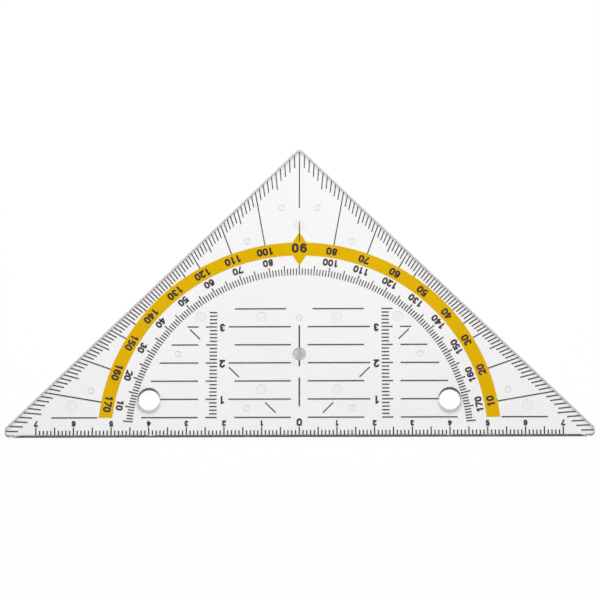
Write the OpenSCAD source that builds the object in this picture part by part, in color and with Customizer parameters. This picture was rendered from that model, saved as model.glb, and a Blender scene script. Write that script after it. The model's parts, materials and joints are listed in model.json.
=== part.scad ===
// Geometry triangle: a clear moulded set square with a ruler, a protractor and a field of parallel
// lines printed on its underside. The origin is the zero point in the middle of the hypotenuse, on the
// drawing surface. +Y points to the right-angled corner and +Z up from the paper. Sizes are millimetres.

/* [Plate] */
// Length of the hypotenuse between its sharp corners, at the top face
hypotenuse = 160.3; // [150:0.1:200]
// Thickness of the clear plate
plate_thickness = 2; // [1.6:0.1:3]
// How far the sides spread from the top face down to the rim of the underside
side_draft = 0.2; // [0.05:0.01:0.3]
// Distance from the edge of the hypotenuse to the zero line of the print
zero_inset = 0.13; // [0:0.01:0.4]
// Rounding of the three corners
corner_radius = 1.35; // [0.8:0.05:2]

/* [Grip holes] */
// Distance between the two holes
grip_hole_spacing = 80; // [76:0.5:88]
// Height of the holes above the zero line
grip_hole_height = 9.8; // [9:0.1:14]
// Bore of the holes
grip_hole_diameter = 5.9; // [4:0.1:7]

/* [Moulding marks] */
// Height of the feet that hold the print off the paper
nub_height = 0.25; // [0.15:0.05:0.5]
// Diameter of the feet
nub_diameter = 1.6; // [1:0.1:2]
// Diameter of the ejector pin marks
ejector_diameter = 2.7; // [2:0.1:3.5]
// Depth of the ejector pin marks
ejector_depth = 0.08; // [0.05:0.01:0.2]
// Diameter of the well where the sprue was cut off
gate_diameter = 3.5; // [2.5:0.1:4]
// Depth of that well
gate_depth = 0.3; // [0.1:0.05:0.5]
// Height of the well's centre above the zero line
gate_height = 22; // [20:0.1:25]

/* [Print] */
// Thickness of one layer of ink
ink_thickness = 0.03; // [0.02:0.01:0.05]
// Width of the printed lines
line_width = 0.25; // [0.15:0.01:0.35]
// Width of the marks along the ruler
ruler_line_width = 0.32; // [0.15:0.01:0.4]
// Width of the two upright dashes in the field
field_dash_width = 0.37; // [0.15:0.01:0.45]
// Unprinted rim along the plate's edge
print_margin = 0.2; // [0.1:0.05:0.4]
// Stroke of the regular figures, as a part of their height
regular_stroke = 0.22; // [0.12:0.01:0.24]
// Stroke of the bold figures, as a part of their height
bold_stroke = 0.25; // [0.16:0.01:0.27]

/* [Ruler] */
// Least distance from the last centimetre mark to the sharp corner
ruler_end_gap = 9; // [6:1:20]
// Length of the millimetre marks
ruler_short_mark = 1.45; // [1:0.05:1.8]
// Length of the marks at every fifth millimetre
ruler_long_mark = 2.3; // [1.9:0.05:2.6]
// Gap between the marks and the figures
ruler_number_gap = 0.3; // [0.2:0.01:0.5]
// Height of the centimetre figures
ruler_number_height = 1.53; // [1:0.01:1.7]
// Height of the figure at zero
zero_number_height = 2.08; // [1.4:0.01:2.1]

/* [Protractor] */
// Least distance from the yellow band to the legs
band_clearance = 3; // [2:0.05:6]
// Width of the yellow band
band_width = 3.6; // [3:0.1:4.2]
// Height at which the band's ends are cut
band_end_height = 5; // [4.8:0.1:6]
// Gap between the band's inner edge and its figures
band_number_gap = 0.65; // [0.4:0.05:0.8]
// Height of the figures on the band
band_number_height = 2.13; // [1.4:0.01:2.2]
// Sideways shift of those figures, away from their degree lines
band_number_shift = 0.25; // [0:0.05:0.5]
// Height of the figure at the right angle
right_angle_number_height = 2.7; // [1.8:0.05:2.7]
// Half the width of the pointed mark at the right angle
pointer_half_width = 1.85; // [1.2:0.05:2]
// Height of the pointed mark above the band
pointer_height = 3; // [2:0.1:4]
// Space for the inner figures between the band and the inner degree marks
number_space = 2.9; // [2.4:0.1:3.4]
// Height of the inner figures
inner_number_height = 1.9; // [1.3:0.05:1.9]
// Length of the inner degree marks
inner_short_mark = 1.75; // [1.2:0.05:2]
// Length of the inner marks at every fifth degree
inner_long_mark = 2.6; // [2.1:0.05:2.8]
// First and last degree of the inner marks, counted from the hypotenuse
inner_first_degree = 5; // [5:1:9]
// Depth of the degree marks along the legs
leg_short_mark = 2.8; // [2:0.05:3]
// Depth of the leg marks at every fifth degree
leg_long_mark = 3.8; // [3.1:0.05:4.4]

/* [Field of lines] */
// Number of parallel lines
line_count = 7; // [4:1:7]
// Gap from the centre to the inner ends of the lines
line_start = 2.25; // [2:0.05:3]
// Gap from the centre to the inner ends of the top line
top_line_start = 3.55; // [3:0.05:5]
// Reach of the lines at whole centimetres
long_line_reach = 18.9; // [17:0.1:19]
// How much shorter the lines between them are
short_line_cut = 1.6; // [0.5:0.1:4]
// Gap between the height scales and the outer lines
outer_line_gap = 2; // [1:0.1:4]
// Gap between the field and the inner degree marks
field_gap = 2.1; // [1.5:0.1:3]
// Gap between the band and the line beyond it
tip_line_gap = 0.35; // [0.2:0.05:1]
// Distance from the end of that line to the sharp corner
tip_line_end_gap = 14; // [13:0.5:18]

/* [Height scales] */
// Distance from the long lines to the middle of the figures
height_number_gap = 1.7; // [1.3:0.1:3]
// Height of the figures
height_number_height = 2.12; // [1.4:0.01:2.2]
// Drop of the figures' middle below their line
height_number_drop = 0.23; // [0:0.01:0.5]
// Distance from the middle of the figures to the marks
height_scale_gap = 1.4; // [1:0.1:2.5]
// Length of the millimetre marks
height_short_mark = 2; // [1.4:0.1:2.4]
// Length of the marks at every fifth millimetre
height_long_mark = 3; // [2.5:0.1:3.4]
// First mark above the hypotenuse
height_first_mark = 5; // [5:1:9]
// Marks that the right-hand scale has beyond the left-hand one
right_scale_extra = 1; // [0:1:1]

/* [Centre line and 45 degree dashes] */
// Distance from the band to the lower end of the line below the right-angled corner
centre_line_gap = 0.28; // [0.2:0.02:1.6]
// Distance from the band to the break in that line
centre_break_gap = 5.73; // [4.5:0.01:7]
// Length of the break
centre_break_length = 4.1; // [2:0.1:5]
// Top of the upper dash in the field
upper_dash_top = 30.35; // [29:0.05:31]
// Length of the upper dash
upper_dash_length = 11.3; // [10:0.1:12]
// Top of the lower dash in the field
lower_dash_top = 15.85; // [14:0.05:16.5]
// Length of the lower dash
lower_dash_length = 7.8; // [6:0.1:9]
// Height of the first 45 degree dash above the line below it
first_dash_rise = 1.3; // [0.5:0.05:2]
// Height of the second 45 degree dash above the line below it
second_dash_rise = 1.05; // [0.5:0.05:2]
// Height of the third 45 degree dash above the line below it
third_dash_rise = 1.55; // [0.5:0.05:2]
// Length of those dashes along X
angle_dash_length = 2.75; // [2:0.05:3]

/* [Hidden] */
$fn = 48;
centimetre = 10;
line_pitch = centimetre / 2;
half_base = hypotenuse / 2 - zero_inset;
leg_distance = half_base / sqrt(2);
underside = nub_height;
top_face = nub_height + plate_thickness;
rim_height = 0.1;
ruler_centimetres = floor((half_base - ruler_end_gap) / centimetre);
ruler_reach = ruler_centimetres * centimetre;
band_outer = leg_distance - band_clearance;
band_inner = band_outer - band_width;
inner_marks_end = band_inner - number_space;
inner_marks_start = inner_marks_end - inner_long_mark;
field_radius = inner_marks_start - field_gap;
height_number_place = long_line_reach + height_number_gap;
height_scale_start = height_number_place + height_scale_gap;
height_last_mark = floor(field_reach(height_scale_start + height_short_mark));
outer_line_start = height_scale_start + height_long_mark + outer_line_gap;
angle_dash_starts = [line_pitch + first_dash_rise, 3 * line_pitch + second_dash_rise,
                     5 * line_pitch + third_dash_rise];
figure_width = 0.7;
figure_advance = 0.76;
tight_advance = 0.72;
wide_advance = 0.83;
upper_bowl = 0.29;
arc_step = 7.5;
overlap = 0.5;
plastic = [0.86, 0.9, 0.92, 0.45];
black_ink = [0.13, 0.1, 0.1];
yellow_ink = [0.87, 0.7, 0];
// Feet and ejector marks in the middle and on the right half; the left half mirrors them. The feet in
// the field stand between two lines, the outer ones by degree and distance beyond the band.
field_nubs = [for (nub = [[0, 6.5], [14, 1.5], [32.4, 4.5]]) [nub[0], nub[1] * line_pitch]];
outer_nubs = [for (nub = [[85.6, 10.1], [75.3, 2.2], [12.6, 3.35]])
              (band_outer + nub[1]) * [cos(nub[0]), sin(nub[0])]];
ejector_places = [[0, 58], [10.1, 12.2], [10.1, 32.3], [26.4, 32.4], [60.5, 7.9]];

// Half the width of the circular field at a height above the zero line
function field_reach(height) = sqrt(max(pow(field_radius, 2) - pow(height, 2), 0));
// Half the width of a circle about the zero point at a height above the hypotenuse
function circle_reach(radius, height) = sqrt(pow(radius, 2) - pow(height, 2));
// Distance from the zero point to a line parallel to a leg, along a degree line
function leg_reach(degree, depth) = (half_base - depth * sqrt(2)) / (abs(cos(degree)) + sin(degree));
// Radius of a figure's lower bowl, so that both bowls share one stroke
function lower_bowl(stroke) = (1 + stroke) / 2 - upper_bowl;
// Points along an arc from one angle round to another
function arc_points(centre, radius, start, end) =
    [for (angle = [start : sign(end - start) * arc_step : end])
        centre + radius * [cos(angle), sin(angle)]];
function is_multiple(value, step) = value % step == 0;
function digits_of(value) = value < 10 ? [value] : concat(digits_of(floor(value / 10)), [value % 10]);

// The outline of the top face with its three round corners, drawn in by a margin
module outline(margin = 0) {
    radius = corner_radius - margin;
    tip = hypotenuse / 2 - corner_radius * (1 + sqrt(2));
    foot = corner_radius - zero_inset;
    apex = half_base - corner_radius * sqrt(2);
    polygon(concat(arc_points([tip, foot], radius, -90, 45),
                   arc_points([0, apex], radius, 45, 135),
                   arc_points([-tip, foot], radius, 135, 270)));
}

// Wedges outside the plate, against which its three sides lean in above an upright rim
module side_wedges() {
    lean = atan(side_draft / (plate_thickness - rim_height));
    for (side = [[0, zero_inset], [135, leg_distance], [-135, leg_distance]])
        rotate(side[0])
            translate([0, -side[1] - side_draft, underside + rim_height])
                rotate([-lean, 0, 0])
                    translate([-hypotenuse / 2 - overlap, -2 * overlap, 0])
                        cube([hypotenuse + 2 * overlap, 2 * overlap, plate_thickness + overlap]);
}

module both_sides() {
    children();
    mirror([1, 0]) children();
}

module grip_holes() {
    both_sides()
        translate([grip_hole_spacing / 2, grip_hole_height]) circle(d = grip_hole_diameter);
}

module at_places(places) {
    for (place = places)
        for (side = place[0] == 0 ? [1] : [-1, 1])
            translate([side * place[0], place[1]]) children();
}

// Marks in layers of ink on the underside, kept off the rim and the holes
module printed(layers = 1) {
    thickness = layers * ink_thickness;
    translate([0, 0, underside - thickness])
        linear_extrude(thickness)
            difference() {
                intersection() {
                    union() children();
                    outline(print_margin);
                }
                grip_holes();
            }
}

// A line along X between two distances, at a height
module level_line(start, end, height) {
    translate([start, height - line_width / 2]) square([end - start, line_width]);
}

// A degree line between two distances from the zero point
module degree_line(degree, start, end) {
    rotate(degree) translate([start, -line_width / 2]) square([end - start, line_width]);
}

// A line along Y between two heights, at a place along X
module upright_line(place, bottom, top, width = line_width) {
    translate([place - width / 2, bottom]) square([width, top - bottom]);
}

module ring(radius, stroke) {
    difference() {
        circle(radius);
        circle(radius - stroke);
    }
}

module oval(width, height) {
    radius = width / 2;
    translate([0, radius]) circle(radius);
    translate([0, height - radius]) circle(radius);
    translate([-radius, radius]) square([width, height - width]);
}

// Figures are drawn one unit high, standing on X and centred on Y
module figure_0(stroke) {
    difference() {
        oval(figure_width, 1);
        translate([0, stroke]) oval(figure_width - 2 * stroke, 1 - 2 * stroke);
    }
}

module figure_1(stroke) {
    right = 0.16;
    left = -0.24;
    flag = 0.83;
    polygon([[right, 0], [right, 1], [right - stroke, 1], [left, flag], [left, flag - stroke],
             [right - stroke, 1 - stroke], [right - stroke, 0]]);
}

module figure_2(stroke) {
    radius = figure_width / 2;
    turn = -37.5;
    bowl = [0, 1 - radius];
    outer = arc_points(bowl, radius, 180, turn);
    inner = arc_points(bowl, radius - stroke, turn, 180);
    fall = [tan(turn), -1];
    tail = outer[len(outer) - 1];
    polygon(concat(outer, [tail + (tail[1] - stroke) * fall, [radius, stroke], [radius, 0], [-radius, 0],
                           [-radius, stroke], inner[0] + (inner[0][1] - stroke) * fall], inner));
}

module figure_3(stroke) {
    opening = -0.05;
    difference() {
        figure_8(stroke);
        translate([opening - 1, lower_bowl(stroke)]) square([1, 1 - upper_bowl - lower_bowl(stroke)]);
    }
}

module figure_4(stroke) {
    right = 0.24;
    bar = 0.22;
    left = -figure_width / 2;
    slant = 1.1 * stroke;
    difference() {
        polygon([[right, 0], [right, bar], [-left, bar], [-left, bar + stroke], [right, bar + stroke],
                 [right, 1], [right - stroke, 1], [left, bar + stroke], [left, bar],
                 [right - stroke, bar], [right - stroke, 0]]);
        polygon([[left + slant, bar + stroke], [right - stroke, bar + stroke],
                 [right - stroke, 1 - slant]]);
    }
}

module figure_5(stroke) {
    radius = figure_width / 2;
    inset = 0.03;
    opening = [-0.12, 0.22];
    left = inset - radius;
    waist = 2 * (radius - inset) - stroke;
    difference() {
        translate([0, radius]) ring(radius, stroke);
        translate([opening[0] - 1, opening[1]]) square([1, waist + inset - opening[1]]);
    }
    translate([left, waist]) square([stroke, 1 - waist]);
    translate([left, 1 - stroke]) square([-2 * left, stroke]);
}

module figure_6(stroke) {
    radius = figure_width / 2;
    opening = 0.06;
    translate([0, radius]) ring(radius, stroke);
    difference() {
        figure_0(stroke);
        translate([0, radius]) square([1, 1 - 2 * radius + opening]);
    }
}

module figure_7(stroke) {
    right = figure_width / 2;
    foot = -0.04;
    polygon([[-right, 1], [right, 1], [right, 1 - stroke], [foot, 0], [foot - stroke, 0],
             [right - stroke, 1 - stroke], [-right, 1 - stroke]]);
}

module figure_8(stroke) {
    translate([0, 1 - upper_bowl]) ring(upper_bowl, stroke);
    translate([0, lower_bowl(stroke)]) ring(lower_bowl(stroke), stroke);
}

module figure_9(stroke) {
    translate([0, 1]) rotate(180) figure_6(stroke);
}

module figure(value, stroke) {
    if (value == 0) figure_0(stroke);
    if (value == 1) figure_1(stroke);
    if (value == 2) figure_2(stroke);
    if (value == 3) figure_3(stroke);
    if (value == 4) figure_4(stroke);
    if (value == 5) figure_5(stroke);
    if (value == 6) figure_6(stroke);
    if (value == 7) figure_7(stroke);
    if (value == 8) figure_8(stroke);
    if (value == 9) figure_9(stroke);
}

// A number centred on the origin
module number(value, height, stroke, advance = figure_advance) {
    digits = digits_of(value);
    middle = (len(digits) - 1) / 2;
    scale(height)
        for (i = [0 : len(digits) - 1])
            translate([(i - middle) * advance, -0.5]) figure(digits[i], stroke);
}

// A number on a degree line with its top towards the zero point
module degree_number(degree, radius, value, height, stroke, advance, shift = 0) {
    rotate(degree) translate([radius, shift]) rotate(90) number(value, height, stroke, advance);
}

// A number with its top towards the hypotenuse
module turned_number(place, value, height, stroke) {
    translate(place) rotate(180) number(value, height, stroke);
}

module band_number_shapes() {
    base = band_inner + band_number_gap;
    degree_number(90, base + right_angle_number_height / 2, 90, right_angle_number_height, bold_stroke,
                  wide_advance);
    for (degree = [10 : 10 : 170])
        if (degree != 90)
            degree_number(degree, base + band_number_height / 2, degree, band_number_height, bold_stroke,
                          tight_advance, band_number_shift);
}

module centre_line_shapes() {
    break_start = band_outer + centre_break_gap;
    upright_line(0, band_outer + centre_line_gap, break_start);
    upright_line(0, break_start + centre_break_length, half_base);
    upright_line(0, upper_dash_top - upper_dash_length, upper_dash_top, field_dash_width);
    upright_line(0, lower_dash_top - lower_dash_length, lower_dash_top, field_dash_width);
}

// Clear moulded plate with its grip holes, feet, ejector pin marks and gate well
module plate() {
    color(plastic) {
        difference() {
            translate([0, 0, underside])
                linear_extrude(plate_thickness) {
                    difference() {
                        outline(-side_draft);
                        grip_holes();
                    }
                }
            side_wedges();
            translate([0, 0, top_face - ejector_depth])
                at_places(ejector_places) cylinder(d = ejector_diameter, h = overlap);
            translate([0, gate_height, top_face - gate_depth]) cylinder(d = gate_diameter, h = overlap);
        }
        at_places(concat(field_nubs, outer_nubs)) cylinder(d = nub_diameter, h = nub_height + overlap);
    }
}

// Yellow band about the zero point, printed over the black marks that it backs
module protractor_band() {
    color(yellow_ink)
        difference() {
            union() {
                printed(2)
                    difference() {
                        ring(band_outer, band_width);
                        translate([-hypotenuse, band_end_height - hypotenuse])
                            square([2 * hypotenuse, hypotenuse]);
                    }
                printed(2)
                    polygon([[0, band_outer + pointer_height], [pointer_half_width, band_outer],
                             [pointer_half_width, band_inner], [0, inner_marks_end],
                             [-pointer_half_width, band_inner], [-pointer_half_width, band_outer]]);
            }
            translate([0, 0, underside - ink_thickness])
                linear_extrude(overlap) {
                    band_number_shapes();
                    centre_line_shapes();
                }
        }
}

// Degrees on the band, from right to left
module band_numbers() {
    color(black_ink) printed() band_number_shapes();
}

// Degree marks along both legs; every tenth runs to the band
module leg_degree_marks() {
    color(black_ink)
        printed()
            for (degree = [1 : 179])
                if (degree != 90) {
                    depth = is_multiple(degree, 5) ? leg_long_mark : leg_short_mark;
                    start = is_multiple(degree, 10) ? band_outer : leg_reach(degree, depth);
                    degree_line(degree, max(start, band_outer), leg_reach(degree, 0));
                }
}

// Inner degree marks
module inner_degree_marks() {
    color(black_ink)
        printed()
            for (degree = [inner_first_degree : 180 - inner_first_degree])
                degree_line(degree, inner_marks_start, inner_marks_start
                            + (is_multiple(degree, 5) ? inner_long_mark : inner_short_mark));
}

// Inner degrees, from left to right
module inner_degree_numbers() {
    color(black_ink)
        printed()
            for (degree = [10 : 10 : 170])
                if (degree != 90)
                    degree_number(degree, band_inner - number_space / 2, 180 - degree,
                                  inner_number_height, regular_stroke, figure_advance);
}

// Millimetre marks along the hypotenuse
module ruler_marks() {
    color(black_ink)
        printed()
            for (place = [-ruler_reach : ruler_reach])
                upright_line(place, 0, is_multiple(place, 5) ? ruler_long_mark : ruler_short_mark,
                             ruler_line_width);
}

// Centimetres along the hypotenuse, counted from the middle
module ruler_numbers() {
    base = ruler_long_mark + ruler_number_gap;
    color(black_ink)
        printed()
            for (i = [-ruler_centimetres : ruler_centimetres]) {
                height = i == 0 ? zero_number_height : ruler_number_height;
                stroke = i == 0 ? regular_stroke : bold_stroke;
                turned_number([i * centimetre, base + height / 2], abs(i), height, stroke);
            }
}

// Parallel lines in the field, beside the height scales and beyond the band
module parallel_lines() {
    color(black_ink)
        printed()
            both_sides() {
                for (i = [1 : line_count]) {
                    height = i * line_pitch;
                    start = i == line_count ? top_line_start : line_start;
                    reach = is_multiple(i, 2) ? long_line_reach : long_line_reach - short_line_cut;
                    level_line(start, min(reach, field_reach(height)), height);
                    if (field_reach(height) > outer_line_start) {
                        meets_hole = abs(height - grip_hole_height) < grip_hole_diameter / 2;
                        end = meets_hole ? grip_hole_spacing / 2 : field_reach(height);
                        level_line(outer_line_start, end, height);
                    }
                }
                level_line(circle_reach(band_outer + tip_line_gap, line_pitch),
                           half_base - tip_line_end_gap, line_pitch);
            }
}

// Millimetre marks of one height scale, on the right of the centre
module height_marks(last_mark) {
    for (height = [height_first_mark : last_mark])
        level_line(height_scale_start, height_scale_start
                   + (is_multiple(height, 5) ? height_long_mark : height_short_mark), height);
}

module left_height_marks() {
    color(black_ink) printed() mirror([1, 0]) height_marks(height_last_mark);
}

module right_height_marks() {
    color(black_ink) printed() height_marks(height_last_mark + right_scale_extra);
}

// Centimetres beside both height scales
module height_numbers() {
    color(black_ink)
        printed()
            for (side = [-1, 1])
                for (i = [1 : floor(height_last_mark / centimetre)])
                    turned_number([side * height_number_place, i * centimetre - height_number_drop], i,
                                  height_number_height, regular_stroke);
}

// Line from the right-angled corner towards the zero point
module centre_line() {
    color(black_ink) printed() centre_line_shapes();
}

// Dashes on the 45 degree lines through the zero point
module angle_dashes() {
    color(black_ink)
        printed()
            both_sides()
                for (start = angle_dash_starts)
                    degree_line(45, start * sqrt(2),
                                min((start + angle_dash_length) * sqrt(2), field_radius));
}

plate();
protractor_band();
band_numbers();
leg_degree_marks();
inner_degree_marks();
inner_degree_numbers();
ruler_marks();
ruler_numbers();
parallel_lines();
left_height_marks();
right_height_marks();
height_numbers();
centre_line();
angle_dashes();
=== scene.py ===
import json
import math

import bpy
from mathutils import Matrix, Vector

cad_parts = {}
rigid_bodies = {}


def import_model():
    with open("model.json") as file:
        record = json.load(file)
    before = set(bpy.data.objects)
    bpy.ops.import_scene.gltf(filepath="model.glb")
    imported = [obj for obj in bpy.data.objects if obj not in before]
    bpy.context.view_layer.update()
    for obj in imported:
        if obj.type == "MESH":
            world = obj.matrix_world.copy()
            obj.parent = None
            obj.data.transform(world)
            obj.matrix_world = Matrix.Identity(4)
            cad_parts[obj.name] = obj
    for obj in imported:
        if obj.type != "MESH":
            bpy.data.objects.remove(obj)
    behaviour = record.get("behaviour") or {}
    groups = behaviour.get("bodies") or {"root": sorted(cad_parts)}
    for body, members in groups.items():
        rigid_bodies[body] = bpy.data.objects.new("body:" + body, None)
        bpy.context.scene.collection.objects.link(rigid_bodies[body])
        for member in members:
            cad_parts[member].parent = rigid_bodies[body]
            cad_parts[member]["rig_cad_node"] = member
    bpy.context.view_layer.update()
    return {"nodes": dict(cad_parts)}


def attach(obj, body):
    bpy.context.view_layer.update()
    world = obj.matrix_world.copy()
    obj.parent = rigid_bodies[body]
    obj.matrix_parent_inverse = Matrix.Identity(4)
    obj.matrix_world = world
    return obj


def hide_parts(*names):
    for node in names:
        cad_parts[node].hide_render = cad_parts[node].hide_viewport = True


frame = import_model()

mm = 0.001


# Plate
# One clear acrylic moulding, 2 mm thick, with blunted corners, two tapered holes for a clip-on grip
# and round feet that hold the print off the paper. Its rims are broken by a hair's breadth, and the
# sprue was cut out of a shallow well on the top face, which is left torn and frosted.
plate_underside = 0.25 * mm
plate_top = 2.25 * mm
ink_bite = 0.01 * mm
hole_places = (Vector((-40, 9.8, 0)) * mm, Vector((40, 9.8, 0)) * mm)
hole_bore = 2.95 * mm
hole_low_radius = 2.8 * mm
hole_top_radius = 3.02 * mm
corner_arcs = ((76.891, 1.22, -90, 45), (0, 78.111, 45, 135), (-76.891, 1.22, 135, 270))
corner_reach = 1.55 * mm
corner_step = 11.25
side_lean = math.atan(0.2 / 1.9)
lean_start = 0.35 * mm
rim_break = 0.05 * mm
rim_angle = math.radians(40)
gate_centre = Vector((0, 22, 0)) * mm
gate_radius = 1.75 * mm
pin_places = [
    Vector((side * x, y, 0)) * mm
    for x, y in ((0, 58), (10.1, 12.2), (10.1, 32.3), (26.4, 32.4), (60.5, 7.9)) for side in (-1, 1)
]
pin_radius = 1.35 * mm
mark_depth = 0.5 * mm
steep_slope = math.radians(10)
flat_slope = math.radians(0.5)
same_place = 0.002 * mm

bpy.ops.object.select_all(action="DESELECT")
frame["nodes"]["plate"].select_set(True)
bpy.context.view_layer.objects.active = frame["nodes"]["plate"]
bpy.ops.object.duplicate()
plate = bpy.context.active_object
plate.name = "clear_plate"
del plate["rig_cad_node"]

# The corners are cut to lean like the sides, one facet at a time.
bpy.ops.object.mode_set(mode="EDIT")
bpy.ops.mesh.select_all(action="SELECT")
bpy.ops.mesh.remove_doubles(threshold=same_place)
bpy.ops.mesh.dissolve_limited(angle_limit=flat_slope)
for x, y, first, last in corner_arcs:
    for step in range(1, round((last - first) / corner_step)):
        toward = math.radians(first + step * corner_step)
        outward = Vector((math.cos(toward), math.sin(toward), 0))
        bpy.ops.mesh.select_all(action="SELECT")
        bpy.ops.mesh.bisect(
            plane_co=Vector((x * mm, y * mm, lean_start)) + corner_reach * outward,
            plane_no=outward * math.cos(side_lean) + Vector((0, 0, math.sin(side_lean))),
            use_fill=True,
            clear_outer=True,
            threshold=same_place,
        )
bpy.ops.mesh.select_all(action="DESELECT")
bpy.ops.object.mode_set(mode="OBJECT")

# The holes are narrower at the underside, and the underside takes in the top of the ink.
for place in hole_places:
    for height, radius in ((plate_underside, hole_low_radius), (plate_top, hole_top_radius)):
        for vertex in plate.data.vertices:
            away = math.hypot(vertex.co.x - place.x, vertex.co.y - place.y)
            vertex.select = away < hole_bore + same_place and abs(vertex.co.z - height) < same_place
        widening = radius / hole_bore
        bpy.ops.object.mode_set(mode="EDIT")
        bpy.ops.transform.resize(value=(widening, widening, 1), center_override=place)
        bpy.ops.mesh.select_all(action="DESELECT")
        bpy.ops.object.mode_set(mode="OBJECT")
for vertex in plate.data.vertices:
    vertex.select = abs(vertex.co.z - plate_underside) < same_place
bpy.ops.object.mode_set(mode="EDIT")
bpy.ops.transform.translate(value=(0, 0, -ink_bite))
bpy.ops.object.mode_set(mode="OBJECT")

rims = plate.modifiers.new("rims", "BEVEL")
rims.limit_method = "ANGLE"
rims.angle_limit = rim_angle
rims.width = rim_break
rims.segments = 2
rims.use_clamp_overlap = True
rims.loop_slide = False
bpy.ops.object.modifier_apply(modifier="rims")
bpy.ops.object.shade_smooth_by_angle(angle=rim_angle)
flats = plate.modifiers.new("flats", "WEIGHTED_NORMAL")
flats.mode = "FACE_AREA"
flats.weight = 100
flats.keep_sharp = True
bpy.ops.object.modifier_apply(modifier="flats")


def new_material(name):
    """An empty node material, to be filled by the piece that it belongs to."""
    material = bpy.data.materials.new(name)
    material.use_nodes = True
    material.node_tree.nodes.clear()
    return material, material.node_tree.nodes, material.node_tree.links


def clear_acrylic(name, smooth, rough, base, clear=1, patches=22, darkest=0.97):
    """Clear plastic with faint flow marks and handling scratches; lamps shine through it."""
    material, nodes, links = new_material(name)
    place = nodes.new("ShaderNodeTexCoord")

    flow = nodes.new("ShaderNodeTexNoise")
    flow.inputs["Scale"].default_value = patches
    flow.inputs["Detail"].default_value = 2
    links.new(place.outputs["Object"], flow.inputs["Vector"])
    tint = nodes.new("ShaderNodeValToRGB")
    tint.color_ramp.elements[0].position = 0.3
    tint.color_ramp.elements[0].color = (*[darkest * c for c in base], 1)
    tint.color_ramp.elements[1].position = 0.7
    tint.color_ramp.elements[1].color = (*base, 1)
    links.new(flow.outputs["Fac"], tint.inputs["Fac"])

    turn = nodes.new("ShaderNodeMapping")
    turn.inputs["Rotation"].default_value = (0, 0, math.radians(28))
    turn.inputs["Scale"].default_value = (25, 2600, 25)
    links.new(place.outputs["Object"], turn.inputs["Vector"])
    scratch = nodes.new("ShaderNodeTexNoise")
    scratch.inputs["Scale"].default_value = 1
    scratch.inputs["Detail"].default_value = 3
    links.new(turn.outputs["Vector"], scratch.inputs["Vector"])
    dull = nodes.new("ShaderNodeMapRange")
    dull.inputs["From Min"].default_value = 0.35
    dull.inputs["From Max"].default_value = 0.75
    dull.inputs["To Min"].default_value = smooth
    dull.inputs["To Max"].default_value = rough
    links.new(scratch.outputs["Fac"], dull.inputs["Value"])
    ripple = nodes.new("ShaderNodeBump")
    ripple.inputs["Strength"].default_value = 0.02
    ripple.inputs["Distance"].default_value = 0.001 * mm
    links.new(scratch.outputs["Fac"], ripple.inputs["Height"])

    body = nodes.new("ShaderNodeBsdfPrincipled")
    body.inputs["IOR"].default_value = 1.49
    body.inputs["Transmission Weight"].default_value = clear
    links.new(tint.outputs["Color"], body.inputs["Base Color"])
    links.new(dull.outputs["Result"], body.inputs["Roughness"])
    links.new(ripple.outputs["Normal"], body.inputs["Normal"])

    # Lamplight goes straight through the faces, and less of it through the slanting edges.
    slant = nodes.new("ShaderNodeLayerWeight")
    slant.inputs["Blend"].default_value = 0.5
    passed = nodes.new("ShaderNodeValToRGB")
    passed.color_ramp.elements[0].position = 0.3
    passed.color_ramp.elements[0].color = (0.98, 0.98, 0.98, 1)
    passed.color_ramp.elements[1].position = 0.5
    passed.color_ramp.elements[1].color = (0.36, 0.275, 0.28, 1)
    links.new(slant.outputs["Facing"], passed.inputs["Fac"])
    path = nodes.new("ShaderNodeLightPath")
    lit_through = nodes.new("ShaderNodeBsdfTransparent")
    links.new(passed.outputs["Color"], lit_through.inputs["Color"])
    surface = body.outputs["BSDF"]
    for ray in ("Is Shadow Ray", "Is Diffuse Ray"):
        choose = nodes.new("ShaderNodeMixShader")
        links.new(path.outputs[ray], choose.inputs[0])
        links.new(surface, choose.inputs[1])
        links.new(lit_through.outputs["BSDF"], choose.inputs[2])
        surface = choose.outputs["Shader"]
    out = nodes.new("ShaderNodeOutputMaterial")
    links.new(surface, out.inputs["Surface"])
    return material


plate.data.materials.clear()
for surface in (
    clear_acrylic("clear_acrylic", smooth=0.01, rough=0.04, base=(0.99, 0.99, 0.99)),
    clear_acrylic(
        "torn_gate", smooth=0.6, rough=0.9, base=(0.63, 0.58, 0.57), clear=0.35, patches=900, darkest=0.6
    ),
    # The walls of the sprue well and of the pin marks are rough and tinted dark grey: painted shade for
    # the light that these slopes bend away.
    clear_acrylic("rough_rim_painted_shade", smooth=0.4, rough=0.6, base=(0.25, 0.23, 0.23)),
    clear_acrylic("pin_mark", smooth=0.12, rough=0.25, base=(0.94, 0.935, 0.935)),
):
    plate.data.materials.append(surface)
clear_face, torn_face, painted_shade_rim_face, pin_face = range(4)
# Steep walls of the gate well and of the pin marks take the dark rim material, which is painted shade;
# the flat floors of the wells keep their own finish.
for face in plate.data.polygons:
    flat = Vector((face.center.x, face.center.y, 0))
    steep = face.normal.z < math.cos(steep_slope)
    if face.center.z < plate_underside - 2 * ink_bite:
        face.material_index = pin_face
    elif face.center.z < plate_top - mark_depth:
        face.material_index = clear_face
    elif (flat - gate_centre).length < gate_radius + rim_break:
        face.material_index = painted_shade_rim_face if steep else torn_face
    elif min((flat - place).length for place in pin_places) < pin_radius + rim_break:
        face.material_index = painted_shade_rim_face if steep else pin_face
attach(plate, "root")
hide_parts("plate")


# Protractor band
# The half ring of yellow ink, screen printed on the underside of the plate over the black figures,
# which show through the plate from above. The film is thin, so light that runs along inside the
# plate mostly passes it, and the band is only a dark olive in the edges and the walls of the holes.
yellow_thin = (0.77, 0.465, 0.002)
yellow_thick = (0.74, 0.44, 0.001)
yellow_passed = (0.9, 0.8, 0.15)
yellow_sheer = 0.9
ink_roughness = 0.5
roughness_spread = 0.08


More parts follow.
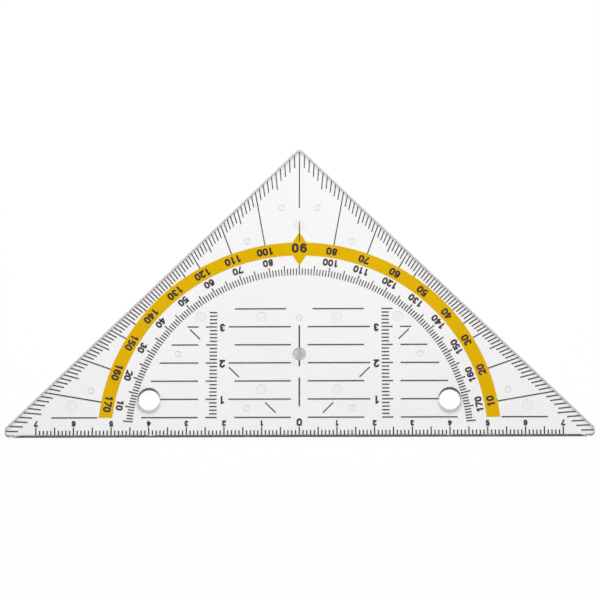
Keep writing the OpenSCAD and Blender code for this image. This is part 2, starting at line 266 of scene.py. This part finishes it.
def printed_ink(name, thin, thick, sheer=0, passed=(1, 1, 1)):
    """A screen-printed film: its colour varies with its thickness, and the mesh leaves a grain."""
    material, nodes, links = new_material(name)
    place = nodes.new("ShaderNodeTexCoord")
    cloud = nodes.new("ShaderNodeTexNoise")
    cloud.inputs["Scale"].default_value = 90
    cloud.inputs["Detail"].default_value = 4
    links.new(place.outputs["Object"], cloud.inputs["Vector"])
    colour = nodes.new("ShaderNodeValToRGB")
    colour.color_ramp.elements[0].position = 0.3
    colour.color_ramp.elements[0].color = (*thick, 1)
    colour.color_ramp.elements[1].position = 0.7
    colour.color_ramp.elements[1].color = (*thin, 1)
    links.new(cloud.outputs["Fac"], colour.inputs["Fac"])
    grain = nodes.new("ShaderNodeTexNoise")
    grain.inputs["Scale"].default_value = 9000
    grain.inputs["Detail"].default_value = 1
    links.new(place.outputs["Object"], grain.inputs["Vector"])
    sheen = nodes.new("ShaderNodeMapRange")
    sheen.inputs["To Min"].default_value = ink_roughness - roughness_spread
    sheen.inputs["To Max"].default_value = ink_roughness + roughness_spread
    links.new(grain.outputs["Fac"], sheen.inputs["Value"])
    relief = nodes.new("ShaderNodeBump")
    relief.inputs["Strength"].default_value = 0.2
    relief.inputs["Distance"].default_value = 0.005 * mm
    links.new(grain.outputs["Fac"], relief.inputs["Height"])
    film = nodes.new("ShaderNodeBsdfPrincipled")
    film.inputs["Specular IOR Level"].default_value = 0
    links.new(colour.outputs["Color"], film.inputs["Base Color"])
    links.new(sheen.outputs["Result"], film.inputs["Roughness"])
    links.new(relief.outputs["Normal"], film.inputs["Normal"])

    # A ray that has only come through the top face has a depth of 1; one that runs inside has more.
    path = nodes.new("ShaderNodeLightPath")
    inside = nodes.new("ShaderNodeMath")
    inside.operation = "GREATER_THAN"
    inside.inputs[1].default_value = 1.5
    links.new(path.outputs["Ray Depth"], inside.inputs[0])
    share = nodes.new("ShaderNodeMath")
    share.operation = "MULTIPLY"
    share.inputs[1].default_value = sheer
    links.new(inside.outputs[0], share.inputs[0])
    through = nodes.new("ShaderNodeBsdfTransparent")
    through.inputs["Color"].default_value = (*passed, 1)
    both = nodes.new("ShaderNodeMixShader")
    links.new(share.outputs[0], both.inputs[0])
    links.new(film.outputs["BSDF"], both.inputs[1])
    links.new(through.outputs["BSDF"], both.inputs[2])
    out = nodes.new("ShaderNodeOutputMaterial")
    links.new(both.outputs["Shader"], out.inputs["Surface"])
    return material


yellow_ink = printed_ink("yellow_ink", yellow_thin, yellow_thick, yellow_sheer, yellow_passed)
frame["nodes"]["protractor_band"].data.materials.clear()
frame["nodes"]["protractor_band"].data.materials.append(yellow_ink)


# Scales and figures
# The black print on the underside: one pass of opaque ink that holds the ruler, the degree marks,
# the parallel lines, the height scales, the centre line and all the figures.
black_thin = (0.075, 0.054, 0.049)
black_thick = (0.05, 0.034, 0.031)
black_ink = printed_ink("black_ink", black_thin, black_thick)
for name, node in frame["nodes"].items():
    if name not in ("plate", "protractor_band"):
        node.data.materials.clear()
        node.data.materials.append(black_ink)


# Studio
# A white sheet under the plate, soft light from above and behind, and the photograph's view. The
# sheet glows white for the camera, and otherwise is mostly paper that keeps the plate's shadow.
floor_drop = 0.02 * mm
floor_size = 4
paper_colour = (0.95, 0.95, 0.95, 1)
glow_shares = (("Is Camera Ray", 0.94), ("Is Transmission Ray", 0.1), ("Is Glossy Ray", 0.1))
bpy.ops.object.select_all(action="DESELECT")
bpy.ops.mesh.primitive_plane_add(size=floor_size, location=(0, 0, -floor_drop))
floor = bpy.context.active_object
floor.name = "white_sheet"
paper, nodes, links = new_material("white_paper")
path = nodes.new("ShaderNodeLightPath")
white_share = None
for ray, share in glow_shares:
    part = nodes.new("ShaderNodeMath")
    part.operation = "MULTIPLY"
    part.inputs[1].default_value = share
    links.new(path.outputs[ray], part.inputs[0])
    if white_share is None:
        white_share = part
        continue
    wider = nodes.new("ShaderNodeMath")
    wider.operation = "MAXIMUM"
    links.new(white_share.outputs[0], wider.inputs[0])
    links.new(part.outputs[0], wider.inputs[1])
    white_share = wider
sheet = nodes.new("ShaderNodeBsdfDiffuse")
sheet.inputs["Color"].default_value = paper_colour
glow = nodes.new("ShaderNodeEmission")
both = nodes.new("ShaderNodeMixShader")
links.new(white_share.outputs[0], both.inputs[0])
links.new(sheet.outputs["BSDF"], both.inputs[1])
links.new(glow.outputs["Emission"], both.inputs[2])
out = nodes.new("ShaderNodeOutputMaterial")
links.new(both.outputs["Shader"], out.inputs["Surface"])
floor.data.materials.append(paper)

room_light = 0.05
world = bpy.data.worlds.new("studio")
world.use_nodes = True
world.node_tree.nodes["Background"].inputs["Color"].default_value = (1, 1, 1, 1)
world.node_tree.nodes["Background"].inputs["Strength"].default_value = room_light
bpy.context.scene.world = world

# Name, degrees to the left of straight behind, degrees above the floor, distance and width in metres,
# watts, and whether the lamp's panel is seen through the plate.
lamps = (
    ("softbox_behind", -2, 71, 0.42, 0.175, 1.37, False),
    ("fill_above", 0, 90, 1.2, 2.0, 8.5, True),
)
lamp_aim = Vector((0, 30 * mm, 0))
for name, turned, raised, distance, size, power, seen in lamps:
    turned, raised = math.radians(turned), math.radians(raised)
    level = Vector((-math.sin(turned), math.cos(turned), 0))
    way = level * math.cos(raised) + Vector((0, 0, math.sin(raised)))
    bpy.ops.object.light_add(type="AREA", location=lamp_aim + distance * way)
    lamp = bpy.context.active_object
    lamp.name = name
    lamp.rotation_euler = way.to_track_quat("Z", "Y").to_euler()
    lamp.data.size = size
    lamp.data.energy = power
    lamp.visible_glossy = False
    lamp.visible_transmission = seen

view_azimuth = math.radians(2.808)
view_elevation = math.radians(73.833)
view_roll = math.radians(-2.890)
view_distance = 0.85
view_aim = Vector((0.171, 37.378, 0.94)) * mm
focal_pixels = 3164.8
frame_pixels = 600
bpy.ops.object.camera_add()
camera = bpy.context.active_object
camera.name = "camera"
camera.data.sensor_width = 36
camera.data.lens = camera.data.sensor_width * focal_pixels / frame_pixels
camera.data.clip_start = 0.01
turn = (
    Matrix.Rotation(view_azimuth, 4, "Z")
    @ Matrix.Rotation(math.pi / 2 - view_elevation, 4, "X")
    @ Matrix.Rotation(view_roll, 4, "Z")
)
camera.matrix_world = Matrix.Translation(view_aim + view_distance * turn.col[2].to_3d()) @ turn
bpy.context.scene.camera = camera
bpy.context.scene.view_settings.view_transform = "Standard"
